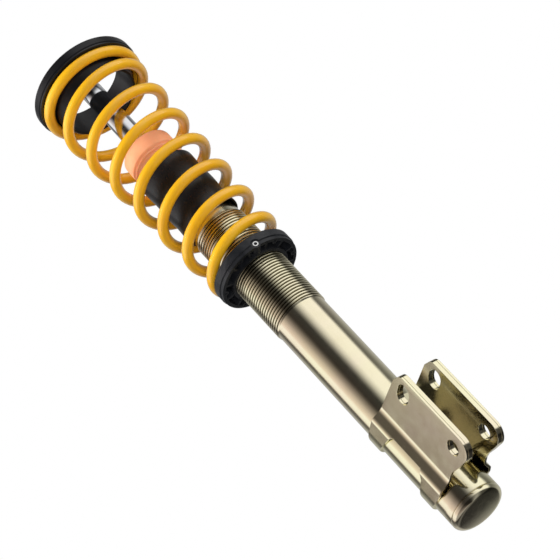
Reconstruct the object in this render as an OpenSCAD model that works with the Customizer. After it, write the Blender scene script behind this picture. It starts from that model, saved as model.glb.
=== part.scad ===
// Coilover for a MacPherson strut: a gold-plated, threaded damper body with a two-eared knuckle
// bracket, a height-adjusting lower perch, a tapering coil spring with its upper perch, and the
// piston rod with its bump stop and dust boot.
// Frame: +Z runs up the strut's axis, the origin is the middle of the closed lower end, and
// +X points from the strut's axis out through the gap of the knuckle bracket.

/* [Damper body] */
// Outer diameter of the plain part of the body tube
body_d = 53; // [52.5:0.1:54]
// Wall thickness of the body tube
body_wall = 3; // [2.8:0.1:3.2]
// Height of the body tube's open top above the closed lower end
body_h = 412; // [410:1:414]
// Crest diameter of the adjuster thread
thread_d = 55.3; // [55:0.1:55.5]
// Rise of the adjuster nut for one turn
thread_pitch = 3.25; // [3:0.25:3.5]
// Depth of the adjuster thread
thread_depth = 1.2; // [0.8:0.1:1.2]
// Height at which the thread starts
thread_start = 259; // [250:1:262]
// Number of thread turns
thread_turns = 40; // [37:1:40]
// Height of the plug that closes the lower end, as far as its seam
cap_h = 8; // [7:0.5:9]
// Radius of the rounded edge of the lower end
cap_round = 6; // [3:0.5:6.5]

/* [Knuckle bracket] */
// Thickness of the outer sheet, which wraps the tube and makes the outer half of each ear
sheet_t = 2.5; // [2:0.1:3]
// Distance between the outer faces of the two ears
ear_span = 42; // [41:0.5:43]
// Clear gap between the ears, for the knuckle
ear_gap = 28; // [27:0.5:29]
// Distance from the strut's axis to the ears' outer edges
ear_reach = 81.5; // [80:0.5:84]
// Distance from the strut's axis to the knuckle bolts
bolt_x = 65.8; // [64:0.1:67]
// Height of the lower knuckle bolt
bolt_low_z = 31; // [30:0.5:32]
// Distance between the two knuckle bolts
bolt_spacing = 68.5; // [67:0.5:70]
// Diameter of the lower hole, and width of the camber slot
bolt_hole_d = 15; // [14.2:0.1:15.5]
// End-to-end length of the camber slot
camber_slot_l = 21; // [17:0.5:23]

/* [Spring] */
// Diameter of the spring wire
wire_d = 11; // [9:0.1:11]
// Radius of the wire's centre line where the spring leaves the lower perch
coil_low_r = 39.6; // [39:0.1:40]
// Growth of that radius for one turn
coil_flare = 1.6; // [1.4:0.1:1.6]
// Rise of the spring for one turn
coil_pitch = 38.3; // [36:0.1:39]
// Direction in which the spring leaves the lower perch, about Z
coil_lift_angle = -105; // [-120:1:-90]
// Turns that lie flat on the lower perch
low_dead_turns = 0.5; // [0.3:0.05:0.6]
// Turns that lie flat against the upper perch
high_dead_turns = 0.72; // [0.5:0.02:0.9]

/* [Perches] */
// Height of the spring's seat on the adjuster nut
seat_z = 339; // [335:1:341]
// Outer diameter of the adjuster nut
nut_d = 86; // [84:0.5:90]
// Height of the adjuster nut
nut_h = 15; // [14:0.5:16]
// Number of ribs under the adjuster nut
nut_ribs = 12; // [8:1:14]
// Direction of the lock screw, about Z
lock_angle = -12; // [-14:1:-10]
// Height of the upper perch's top face
top_z = 625; // [623:1:627]
// Outer diameter of the upper perch
perch_d = 115.6; // [115:0.2:118]
// Diameter of the hole through the upper perch
perch_hole_d = 75; // [70:0.5:78]

/* [Rod] */
// Diameter of the piston rod
rod_d = 22; // [22:0.5:22]
// Height of the shoulder that the top mount seats on
rod_shoulder_z = 612; // [608:1:616]
// Diameter of the stud above the shoulder
stud_d = 14; // [12:1:14]
// Length of the stud
stud_l = 42; // [36:1:44]
// Height of the piston's lower face
piston_z = 280; // [276:1:284]

/* [Bump stop and boot] */
// Height of the bump stop's lower face
bump_z = 480; // [479:0.2:482]
// Height of the bump stop
bump_h = 34.6; // [33:0.2:36]
// Diameter of the bump stop
bump_d = 53.6; // [52:0.4:54.4]
// Height of the boot's open lower lip
boot_z = 402.5; // [401:0.5:404]
// Outer diameter of the boot at its bulges
boot_d = 59; // [58.6:0.1:59.2]
// Wall thickness of the boot
boot_wall = 1.6; // [1.2:0.1:1.6]
// Depth of the waists between the boot's bulges
boot_wave = 0.8; // [0.3:0.1:0.9]

/* [Hidden] */
$fn = 64;

gold = [0.78, 0.70, 0.45];
steel = [0.70, 0.71, 0.73];
black = [0.12, 0.12, 0.13];

body_r = body_d / 2;
bore_r = body_r - body_wall;
thread_r = thread_d / 2;
thread_root_r = thread_r - thread_depth;
thread_end = thread_start + thread_turns * thread_pitch;
neck_r = body_r - 0.3;
rod_r = rod_d / 2;
stud_r = stud_d / 2;
running = 0.04;      // radial clearance of the rod in its bush, seal and wiper
gap = 0.3;           // clearance between pieces that move past each other
over = 1;            // how far a cut runs past the face it opens
far = 150;           // longer than any bracket or valve piece that a cut passes through

// Damper internals, from the lower end up
plug_top = 14;
tube_seat = 20;
pressure_r = 17.5;
pressure_bore_r = 16;
gland_top = body_h - 2;
guide_top = gland_top - 12;
seal_low = guide_top - 4;
guide_flange = guide_top - 12;
guide_low = guide_flange - 6;
foot_r = 20.5;       // radius of the foot valve's flange
valve_bolt_r = 3;
spigot_top = tube_seat + 6;
valve_shim_t = 0.5;
valve_shims = 3;
seal_r = 16;
bush_r = 12.6;
gland_bore_r = 14;
o_ring_r = 1.05;
o_ring_z = guide_flange + 4.2;
o_ring_groove_w = 2.4;

// Bracket outline
ear_out = ear_span / 2;
ear_in = ear_gap / 2;
bridge_out = ear_out - sheet_t;
wrap_r = body_r + sheet_t;
bend_in_r = 8;       // inside radius of the bend into an ear
bend_out_r = 6;      // outside radius of the bend off the wrap
bend_angle = 40;
side_x = 14;         // where the wrap's straight sides end
bracket_top = 122.5;
wrap_low = 25;       // lower edge of the outer sheet, on the ears' side of the tube
wrap_back = 40;      // an X beyond the back of the wrap
ear_low = 19;        // height of the ears' lower edge between the web and the toe
web_x = body_r + 1;  // back of the bridge's web
web_t = 4.5;
web_low = 43;        // lower end of the web

// Spring stations
wire_r = wire_d / 2;
low_wire_z = seat_z + wire_r + gap;
pad_face_z = seat_z + 274.2;
high_wire_z = pad_face_z - wire_r - gap;
active_turns = (high_wire_z - low_wire_z) / coil_pitch;

// Points along an arc about c, for an outline
function arc(c, r, from, to, n = 8) =
    [for (i = [0:n]) let (a = from + (to - from) * i / n) c + r * [cos(a), sin(a)]];

// A tube standing on z
module ring(r_out, r_in, z, h) {
    translate([0, 0, z])
        difference() {
            cylinder(r = r_out, h = h);
            translate([0, 0, -over]) cylinder(r = r_in, h = h + 2 * over);
        }
}

// A disc standing on z
module disc(r, z, h) {
    translate([0, 0, z]) cylinder(r = r, h = h);
}

// ---------------------------------------------------------------- damper body

// Half-section of the thread: a flat crest, sloping flanks and a flat root
function thread_profile() = [
    for (i = [0:thread_turns - 1])
        for (corner = [[thread_root_r, 0.15], [thread_r, 0.32], [thread_r, 0.68], [thread_root_r, 0.85]])
            [corner[0], thread_start + (i + corner[1]) * thread_pitch]
];

module body_tube() {
    color(gold)
        rotate_extrude()
            polygon(concat(
                [[bore_r, cap_h], [body_r, cap_h], [body_r, thread_start]],
                thread_profile(),
                [[neck_r, thread_end], [neck_r, body_h - 1], [neck_r - 1, body_h], [bore_r, body_h]]
            ));
}

// Plug welded into the lower end, with a rounded edge and a recess for the base valve's bolt
module base_cap() {
    bolt_recess_r = 8;
    color(gold)
        rotate_extrude()
            polygon(concat(
                [[0, 0]],
                arc([body_r - cap_round, cap_round], cap_round, -90, 0),
                [[body_r, cap_h], [bore_r, cap_h], [bore_r, plug_top],
                 [bolt_recess_r, plug_top], [bolt_recess_r, cap_h], [0, cap_h]]
            ));
}

// ---------------------------------------------------------------- knuckle bracket

// One side of the outer sheet's outer face, from the back of the wrap to the ear's edge
function sheet_side() =
    let (
        bend_a = [side_x, wrap_r - bend_out_r],
        off = bend_a + bend_out_r * [sin(bend_angle), cos(bend_angle)],
        drop = off[1] - ear_out - bend_in_r * (1 - cos(bend_angle)),
        bend_b = [off[0] + drop / tan(bend_angle) + bend_in_r * sin(bend_angle), ear_out + bend_in_r]
    )
    concat(
        arc([0, 0], wrap_r, 180, 90, 24),
        arc(bend_a, bend_out_r, 90, 90 - bend_angle, 6),
        arc(bend_b, bend_in_r, 270 - bend_angle, 270, 6),
        [[ear_reach, ear_out]]
    );

// Mirror image of an outline about the X axis, in the order that closes the loop
function mirrored(points) =
    [for (i = [len(points) - 1:-1:0]) [points[i][0], -points[i][1]]];

// Cuts along Y through both ears
module along_y() {
    rotate([90, 0, 0]) linear_extrude(height = far, center = true) children();
}

// Ear outline in the XZ plane
module ear_outline() {
    low_corner_r = 13;
    high_corner_r = 8;
    toe_z = 13.5;        // height of the ears' lowest point
    brow_z = 112;        // height where the outer edge's upper corner ends
    polygon(concat(
        [[-wrap_back, wrap_low + 13], [-16, wrap_low + 8], [0, wrap_low + 2], [10, wrap_low]],
        [[34, wrap_low + 0.6], [40, wrap_low - 0.6], [52, ear_low]],
        arc([ear_reach - low_corner_r, toe_z + low_corner_r], low_corner_r, -115, 0, 8),
        arc([ear_reach - high_corner_r, brow_z - high_corner_r], high_corner_r, 0, 70, 5),
        [[70.6, 114.6], [26, bracket_top - 1.5], [-wrap_back, bracket_top]]
    ));
}

// Lower bolt hole and camber slot
module bolt_holes() {
    slot_half = (camber_slot_l - bolt_hole_d) / 2;
    slot_z = bolt_low_z + bolt_spacing;
    along_y() {
        translate([bolt_x, bolt_low_z]) circle(d = bolt_hole_d);
        for (side = [-1, 1])
            translate([bolt_x + side * slot_half, slot_z]) circle(d = bolt_hole_d);
        translate([bolt_x, slot_z]) square([2 * slot_half, bolt_hole_d], center = true);
    }
}

// Window between the two bands of the wrap, open all round the back
module wrap_window() {
    along_y()
        polygon([
            [17, 54.5], [8, 49.5], [-4, 48], [-wrap_back, 48],
            [-wrap_back, 112], [-16, 108], [0, 101.5], [13.5, 97], [17, 93.5]
        ]);
}

// Outer sheet: two bands round the tube, an S-bend each side, and the outer half of each ear
module knuckle_bracket() {
    outer = sheet_side();
    pocket_r = 3;        // inside radius where the sheet leaves the tube
    color(gold)
        difference() {
            intersection() {
                linear_extrude(height = far) polygon(concat(outer, mirrored(outer)));
                along_y() ear_outline();
            }
            disc(body_r, -over, far);
            for (side = [-1, 1])
                hull()
                    for (x = [side_x - 2, side_x + 1])
                        translate([x, side * (wrap_r - sheet_t - pocket_r), -over])
                            cylinder(r = pocket_r, h = far, $fn = 32);
            translate([0, -bridge_out, -over]) cube([far, 2 * bridge_out, far]);
            wrap_window();
            bolt_holes();
        }
}

// Channel between the ears: a web by the tube and the inner half of each ear
module bracket_bridge() {
    step_x = 46;         // where the ears' inner halves come down to the outline
    color(gold)
        difference() {
            intersection() {
                translate([web_x, -bridge_out, 0])
                    cube([ear_reach - web_x, 2 * bridge_out, bracket_top]);
                along_y() ear_outline();
            }
            translate([web_x + web_t, -ear_in, -over]) cube([far, 2 * ear_in, far]);
            along_y()
                polygon([
                    [web_x - over, 0], [web_x - over, web_low], [web_x + web_t, web_low],
                    [step_x, ear_low + 2.7], [step_x, 0]
                ]);
            bolt_holes();
        }
}

// Weld beads down both seams between the bridge and the tube
module bracket_welds() {
    bead_r = 2.2;
    bead_y = 10;
    bead_x = sqrt(body_r * body_r - bead_y * bead_y) + 1.2;
    bead_low = web_low + 2;
    bead_top = bracket_top - 8;
    color(gold)
        for (side = [-1, 1])
            difference() {
                intersection() {
                    translate([bead_x, side * bead_y, bead_low])
                        cylinder(r = bead_r, h = bead_top - bead_low);
                    translate([0, -bridge_out, 0]) cube([web_x, 2 * bridge_out, far]);
                }
                disc(body_r, 0, far);
            }
}

// ---------------------------------------------------------------- damper internals

module pressure_tube() {
    color(steel) ring(pressure_r, pressure_bore_r, tube_seat, guide_flange - tube_seat);
}

// Foot valve in the bottom of the pressure tube
module base_valve() {
    ports = 8;
    port_circle_r = 10;
    port_r = 1.4;
    color(steel)
        difference() {
            union() {
                disc(foot_r, plug_top, tube_seat - plug_top);
                disc(pressure_bore_r, tube_seat, spigot_top - tube_seat);
            }
            disc(valve_bolt_r, plug_top - over, far);
            for (i = [0:ports - 1])
                rotate(i * 360 / ports) translate([port_circle_r, 0, plug_top - over])
                    cylinder(r = port_r, h = far);
        }
}

module base_valve_shims() {
    largest_r = 13;
    taper = 2;           // each shim's radius is this much less than the one below
    color(steel)
        for (i = [0:valve_shims - 1])
            ring(largest_r - taper * i, valve_bolt_r, spigot_top + i * valve_shim_t, valve_shim_t);
}

// Bolt that clamps the shims to the foot valve, with its nut
module base_valve_bolt() {
    head_r = 5;
    head_h = 4;
    nut_r = 5.5;
    nut_z = spigot_top + valve_shims * valve_shim_t;
    nut_h = 5;
    color(steel) {
        disc(head_r, plug_top - head_h, head_h);
        disc(valve_bolt_r, plug_top - over, nut_z + nut_h + 2 * over - plug_top);
        translate([0, 0, nut_z]) cylinder(r = nut_r, h = nut_h, $fn = 6);
    }
}

// Guide that closes the top of both tubes
module rod_guide() {
    color(steel)
        difference() {
            union() {
                disc(bore_r, guide_flange, guide_top - guide_flange);
                disc(pressure_bore_r, guide_low, guide_flange - guide_low);
            }
            disc(bush_r, guide_low - over, far);
            disc(seal_r, seal_low, far);
            difference() {
                disc(bore_r + over, o_ring_z - o_ring_groove_w / 2, o_ring_groove_w);
                disc(bore_r - 2 * o_ring_r, o_ring_z - o_ring_groove_w, 2 * o_ring_groove_w);
            }
        }
}

module guide_bush() {
    color([0.55, 0.42, 0.25]) ring(bush_r, rod_r + running, guide_low, seal_low - guide_low);
}

module guide_o_ring() {
    color(black)
        translate([0, 0, o_ring_z])
            rotate_extrude() translate([bore_r - o_ring_r, 0]) circle(r = o_ring_r, $fn = 32);
}

// Lip seal in the top of the guide
module rod_seal() {
    color(black)
        rotate_extrude()
            polygon([
                [rod_r + running, seal_low], [seal_r, seal_low], [seal_r, guide_top],
                [rod_r + 2, guide_top], [rod_r + running, guide_top - 2]
            ]);
}

// Ring nut that holds the guide down, with four spanner slots
module gland_nut() {
    slot_w = 4;
    slot_depth = 3;
    color(steel)
        difference() {
            ring(bore_r, gland_bore_r, guide_top, gland_top - guide_top);
            for (turn = [0, 90])
                rotate(turn)
                    translate([-bore_r, -slot_w / 2, gland_top - slot_depth])
                        cube([2 * bore_r, slot_w, slot_depth + over]);
        }
}

module wiper_ring() {
    color(black)
        rotate_extrude()
            polygon([
                [rod_r + running, guide_top + 4], [gland_bore_r, guide_top + 4],
                [gland_bore_r, gland_top - 3], [rod_r + 1.2, gland_top + 1],
                [rod_r + running, gland_top]
            ]);
}

// ---------------------------------------------------------------- spring and perches

// Centre of the wire after t turns from the point where it leaves the lower perch
function wire_centre(t) =
    let (
        a = coil_lift_angle + 360 * t,
        r = coil_low_r + coil_flare * t,
        rise = min(max(t, 0), active_turns)
    )
    [r * cos(a), r * sin(a), low_wire_z + coil_pitch * rise];

// Tapering spring with a flat dead coil at each end, swept as one closed tube
module coil_spring() {
    sides = 10;
    steps_per_turn = 24;
    turns = low_dead_turns + active_turns + high_dead_turns;
    rings = round(turns * steps_per_turn);
    points = [
        for (i = [0:rings])
            let (
                t = -low_dead_turns + turns * i / rings,
                a = coil_lift_angle + 360 * t,
                c = wire_centre(t)
            )
            for (s = [0:sides - 1])
                let (b = 360 * (s + 0.5) / sides)
                c + wire_r * [cos(b) * cos(a), cos(b) * sin(a), sin(b)]
    ];
    walls = [
        for (i = [0:rings - 1])
            for (s = [0:sides - 1])
                let (n = (s + 1) % sides)
                [i * sides + s, i * sides + n, (i + 1) * sides + n, (i + 1) * sides + s]
    ];
    ends = [
        [for (s = [sides - 1:-1:0]) s],
        [for (s = [0:sides - 1]) rings * sides + s]
    ];
    color([0.95, 0.68, 0.08]) polyhedron(points = points, faces = concat(walls, ends), convexity = 12);
}

nut_low = seat_z - nut_h;
nut_r = nut_d / 2;
nut_bore_r = thread_r + gap;
band_h = 10;         // height of the nut's smooth band
lock_z = seat_z - band_h - 0.5;
lock_out = nut_r - 1.2;
lock_d = 3.4;
insert_d = 5.4;
insert_l = 6.2;

// Shape along the lock screw's axis, from radius r0 to r1
module along_lock(d, r0, r1) {
    rotate([0, 0, lock_angle])
        translate([r0, 0, lock_z])
            rotate([0, 90, 0]) cylinder(d = d, h = r1 - r0);
}

// Ring nut that carries the spring: a smooth band above, ribs and pockets below
module adjuster_nut() {
    web_h = 5;
    hub_r = nut_bore_r + 3.2;
    wall_r = nut_r - 1;
    wall_in_r = nut_r - 4.5;
    rib_w = 2.4;
    skirt_low = nut_low + 1.5;
    post_d = 6;
    pin_hole_d = 2.4;
    boss_d = 9;
    spotface_d = 9.6;
    spotface_high = seat_z - 4.5;
    color(black)
        difference() {
            union() {
                rotate_extrude()
                    polygon([
                        [nut_bore_r, nut_low], [hub_r, nut_low], [hub_r, seat_z - web_h],
                        [wall_in_r, seat_z - web_h], [wall_in_r, skirt_low], [wall_r, skirt_low],
                        [wall_r, seat_z - band_h], [nut_r, seat_z - band_h + 0.8],
                        [nut_r, seat_z - 1.2], [nut_r - 1.2, seat_z], [nut_bore_r, seat_z]
                    ]);
                for (i = [0:nut_ribs - 1])
                    rotate(lock_angle + 360 * (i + 0.5) / nut_ribs)
                        translate([hub_r - over, -rib_w / 2, skirt_low])
                            cube([wall_in_r - hub_r + 2 * over, rib_w, seat_z - web_h - skirt_low + over]);
                for (i = [1:2:nut_ribs - 1])
                    rotate(lock_angle + 360 * i / nut_ribs)
                        translate([wall_in_r, 0, skirt_low]) cylinder(d = post_d, h = band_h);
                along_lock(boss_d, nut_bore_r + over, lock_out);
            }
            for (i = [1:2:nut_ribs - 1])
                rotate(lock_angle + 360 * i / nut_ribs)
                    translate([wall_in_r, 0, skirt_low - over]) cylinder(d = pin_hole_d, h = 6);
            disc(nut_bore_r, nut_low - over, nut_h + 2 * over);
            along_lock(lock_d, nut_bore_r - over, nut_r + over);
            along_lock(insert_d, lock_out + 0.4 - insert_l, nut_r + over);
            difference() {
                along_lock(spotface_d, lock_out, nut_r + over);
                disc(nut_d, spotface_high, far);
            }
        }
}

// Threaded metal insert for the lock screw
module lock_insert() {
    color([0.86, 0.86, 0.84])
        difference() {
            along_lock(insert_d, lock_out + 0.4 - insert_l, lock_out + 0.4);
            along_lock(lock_d, lock_out - insert_l, nut_r + over);
        }
}

// Grub screw that locks the nut to the thread, with a hexagon socket
module lock_screw() {
    socket_d = 1.9;
    socket_depth = 2.2;
    screw_out = lock_out - 0.8;
    color([0.25, 0.25, 0.26])
        difference() {
            along_lock(lock_d, nut_bore_r + 0.1, screw_out);
            rotate([0, 0, lock_angle])
                translate([screw_out - socket_depth, 0, lock_z])
                    rotate([0, 90, 0]) cylinder(d = socket_d, h = socket_depth + over, $fn = 6);
        }
}

pad_t = 2.3;
pad_top = pad_face_z + pad_t;
pad_edge_r = perch_d / 2 - 0.8;
collar_out_r = 43.9; // outer radius of the upper perch's collar

// Flanged ring above the spring, with a tapering collar that reaches down inside the first coil
module upper_perch() {
    perch_r = perch_d / 2;
    hole_r = perch_hole_d / 2;
    collar_low = pad_face_z - 20.7;
    taper_top = pad_face_z - 10.2;
    color(black)
        rotate_extrude()
            polygon([
                [hole_r, collar_low + 0.6], [hole_r + 0.6, collar_low], [hole_r + 1.6, collar_low],
                [hole_r + 2.3, collar_low + 0.8], [collar_out_r, taper_top], [collar_out_r, pad_top],
                [perch_r - 0.6, pad_top], [perch_r, pad_top + 0.8], [perch_r, top_z - 1.5],
                [perch_r - 1.5, top_z], [hole_r + 1.5, top_z], [hole_r, top_z - 1.5]
            ]);
}

// Rubber liner between the spring and its perch, with a short lip round the collar
module upper_spring_pad() {
    lip_r = collar_out_r + 0.9;
    lip_low = pad_face_z - 4;
    color(black)
        rotate_extrude()
            polygon([
                [collar_out_r, lip_low], [lip_r - 0.4, lip_low], [lip_r, lip_low + 0.4],
                [lip_r, pad_face_z], [pad_edge_r, pad_face_z], [pad_edge_r, pad_top],
                [collar_out_r, pad_top]
            ]);
}

// ---------------------------------------------------------------- rod and piston

piston_h = 18;
shim_h = 2;          // height of a shim stack
band_z = piston_z + 4;
piston_band_h = 10;
piston_band_t = 1.05;
rod_step_z = piston_z + piston_h + shim_h;
spigot_r = 5.5;

module piston_rod() {
    nut_room = 14;       // length of the spigot below the piston
    socket_r = 3.5;
    socket_depth = 8;
    stud_top = rod_shoulder_z + stud_l;
    color([0.85, 0.86, 0.88])
        difference() {
            rotate_extrude()
                polygon([
                    [0, piston_z - nut_room], [spigot_r, piston_z - nut_room],
                    [spigot_r, rod_step_z], [rod_r, rod_step_z], [rod_r, rod_shoulder_z - 1.5],
                    [rod_r - 1.5, rod_shoulder_z], [stud_r, rod_shoulder_z],
                    [stud_r, stud_top - 1.5], [stud_r - 1.5, stud_top], [0, stud_top]
                ]);
            translate([0, 0, stud_top - socket_depth])
                cylinder(r = socket_r, h = socket_depth + over, $fn = 6);
        }
}

module piston() {
    ports = 6;
    port_circle_r = 10;
    port_r = 1.6;
    color(steel)
        difference() {
            disc(pressure_bore_r - 0.4, piston_z, piston_h);
            disc(spigot_r, piston_z - over, far);
            for (i = [0:ports - 1])
                rotate(i * 360 / ports) translate([port_circle_r, 0, piston_z - over])
                    cylinder(r = port_r, h = far);
            difference() {
                disc(pressure_r, band_z, piston_band_h);
                disc(pressure_bore_r - 0.05 - piston_band_t, piston_z, piston_h);
            }
        }
}

// Low-friction band round the piston
module piston_band() {
    band_r = pressure_bore_r - 0.05;
    color([0.35, 0.33, 0.28]) ring(band_r, band_r - piston_band_t, band_z, piston_band_h);
}

// Stack of thin discs of falling radius; side is +1 above the piston and -1 below it
module shim_stack(z, side) {
    shims = 4;
    shim_t = shim_h / shims;
    largest_r = 13.5;
    taper = 1.2;         // each shim's radius is this much less than the one before
    for (i = [0:shims - 1])
        ring(largest_r - taper * i, spigot_r, z + (side > 0 ? i : -i - 1) * shim_t, shim_t);
}

module compression_shims() {
    color(steel) shim_stack(piston_z + piston_h, 1);
}

module rebound_shims() {
    color(steel) shim_stack(piston_z, -1);
}

module piston_nut() {
    across_corners = 19.6;
    thickness = 9;
    color(steel)
        translate([0, 0, piston_z - shim_h - thickness])
            difference() {
                cylinder(d = across_corners, h = thickness, $fn = 6);
                translate([0, 0, -over]) cylinder(r = spigot_r, h = thickness + 2 * over);
            }
}

// Collar on the rod that limits its travel outwards, and the buffer ring on top of it
stop_z = rod_step_z + 6;
stop_h = 8;

module rebound_stop() {
    color(steel) ring(15, rod_r, stop_z, stop_h);
}

module rebound_buffer() {
    color(black) ring(14.6, rod_r, stop_z + stop_h, 14);
}

// ---------------------------------------------------------------- bump stop and boot

// Urethane bump stop: a long upper lobe, a bead between two narrow grooves, and a foot
module bump_stop() {
    bump_r = bump_d / 2;
    bore = rod_r + 0.08;
    round_r = 4;
    groove = 1.8;        // depth of the grooves
    upper_z = bump_z + 14.5;
    lower_z = bump_z + 10.5;
    top = bump_z + bump_h;
    color([0.95, 0.62, 0.43])
        rotate_extrude()
            polygon(concat(
                [[bore, bump_z], [bump_r - 2.5, bump_z], [bump_r - 1, bump_z + 1.5]],
                [[bump_r - 1, lower_z - 1.2], [bump_r - 1 - groove, lower_z], [bump_r - 0.8, lower_z + 1.2]],
                [[bump_r - 0.8, upper_z - 1.2], [bump_r - groove, upper_z], [bump_r, upper_z + 1.6]],
                arc([bump_r - round_r, top - round_r], round_r, 0, 90, 6),
                [[rod_r + 2, top], [bore, top - 2]]
            ));
}

// Half-section of the boot's outer face: two soft bulges between the shoulder and the lip
function boot_face(inset) =
    let (bulge_r = boot_d / 2, round_r = 4, shoulder = bump_z - 4.5, steps = 20)
    concat(
        [
            for (i = [0:steps])
                let (f = i / steps, z = boot_z + (shoulder - boot_z) * f)
                [bulge_r - inset - boot_wave * (1 - cos(720 * f)) / 2, z]
        ],
        arc([bulge_r - round_r, shoulder], round_r - inset, 15, 75, 4)
    );

// Soft boot that hangs from the bump stop and covers the top of the body
module dust_boot() {
    outside = boot_face(0);
    inside = boot_face(boot_wall);
    collar_r = rod_r + 1.4;
    top = bump_z - gap / 3;
    color(black)
        rotate_extrude()
            polygon(concat(
                outside,
                [[boot_d / 2 - 4, top], [collar_r, top], [collar_r, bump_z - 2.4]],
                [for (i = [len(inside) - 1:-1:0]) inside[i]]
            ));
}

body_tube();
base_cap();
knuckle_bracket();
bracket_bridge();
bracket_welds();
pressure_tube();
base_valve();
base_valve_shims();
base_valve_bolt();
rod_guide();
guide_bush();
guide_o_ring();
rod_seal();
gland_nut();
wiper_ring();
coil_spring();
adjuster_nut();
lock_insert();
lock_screw();
upper_perch();
upper_spring_pad();
piston_rod();
piston();
piston_band();
compression_shims();
rebound_shims();
piston_nut();
rebound_stop();
rebound_buffer();
bump_stop();
dust_boot();
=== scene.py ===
"""Blender scene of a coilover strut, built on the CAD frame.

Everything is in metres in the frame of the part: +Z runs up the strut's axis from the closed
lower end, and +X points out through the gap of the knuckle bracket. Lengths written with MM
are in millimetres.
"""

import math
import random

import bmesh
import bpy
import numpy as np
from mathutils import Matrix, Vector


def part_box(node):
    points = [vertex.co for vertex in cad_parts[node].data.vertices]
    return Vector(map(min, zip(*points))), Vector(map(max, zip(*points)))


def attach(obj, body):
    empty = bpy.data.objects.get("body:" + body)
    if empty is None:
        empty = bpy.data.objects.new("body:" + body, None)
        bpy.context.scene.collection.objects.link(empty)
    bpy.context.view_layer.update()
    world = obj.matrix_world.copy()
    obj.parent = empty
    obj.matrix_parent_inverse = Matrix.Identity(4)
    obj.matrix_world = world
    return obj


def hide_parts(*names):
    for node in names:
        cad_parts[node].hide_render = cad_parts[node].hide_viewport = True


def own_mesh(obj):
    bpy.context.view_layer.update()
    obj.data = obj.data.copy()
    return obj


MM = 0.001
TAU = 2 * math.pi
SAME_PLACE = 1e-6

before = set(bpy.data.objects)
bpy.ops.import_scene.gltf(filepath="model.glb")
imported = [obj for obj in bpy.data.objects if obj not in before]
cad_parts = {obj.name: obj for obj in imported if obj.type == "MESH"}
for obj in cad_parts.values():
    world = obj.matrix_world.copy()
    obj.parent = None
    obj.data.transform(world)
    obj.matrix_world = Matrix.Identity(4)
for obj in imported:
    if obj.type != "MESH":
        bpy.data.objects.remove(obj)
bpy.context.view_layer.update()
random.seed(7)


# ------------------------------------------------------------------ sizes shared with the CAD

def top(node):
    """Highest Z of a CAD node at rest."""
    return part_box(node)[1][2]


def low(node):
    """Lowest Z of a CAD node at rest."""
    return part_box(node)[0][2]


def radius(node):
    """Largest radius of a round CAD node about the strut's axis."""
    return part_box(node)[1][1]


BODY_R = radius("base_cap")
BORE_R = radius("gland_nut")
THREAD_R = radius("body_tube")
THREAD_PITCH = 3.25 * MM
THREAD_DEPTH = 1.2 * MM
THREAD_LOW = 259 * MM
THREAD_TURNS = 40
THREAD_HIGH = THREAD_LOW + THREAD_TURNS * THREAD_PITCH

WIRE_R = 5.5 * MM
SEAT_Z = top("adjuster_nut")
PAD_FACE_Z = low("upper_spring_pad") + 4 * MM
COIL_LOW_R = 39.6 * MM
COIL_FLARE = 1.6 * MM
COIL_PITCH = 38.3 * MM
COIL_START = math.radians(-105)
DEAD_LOW = 0.5
DEAD_HIGH = 0.72

SHEET_T = 2.5 * MM
EDGE_R = 0.3 * MM
EAR_OUT = 21 * MM
EAR_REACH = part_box("knuckle_bracket")[1][0]
EAR_IN = 14 * MM
BOLT_X = 65.8 * MM
BOLT_LOW_Z = 31 * MM
BOLT_HIGH_Z = 99.5 * MM
BOLT_R = 7.5 * MM
SLOT_HALF = 3 * MM

ROD_R = radius("rebound_stop") - 4 * MM
STUD_R = 7 * MM


# ------------------------------------------------------------------ node materials

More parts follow.
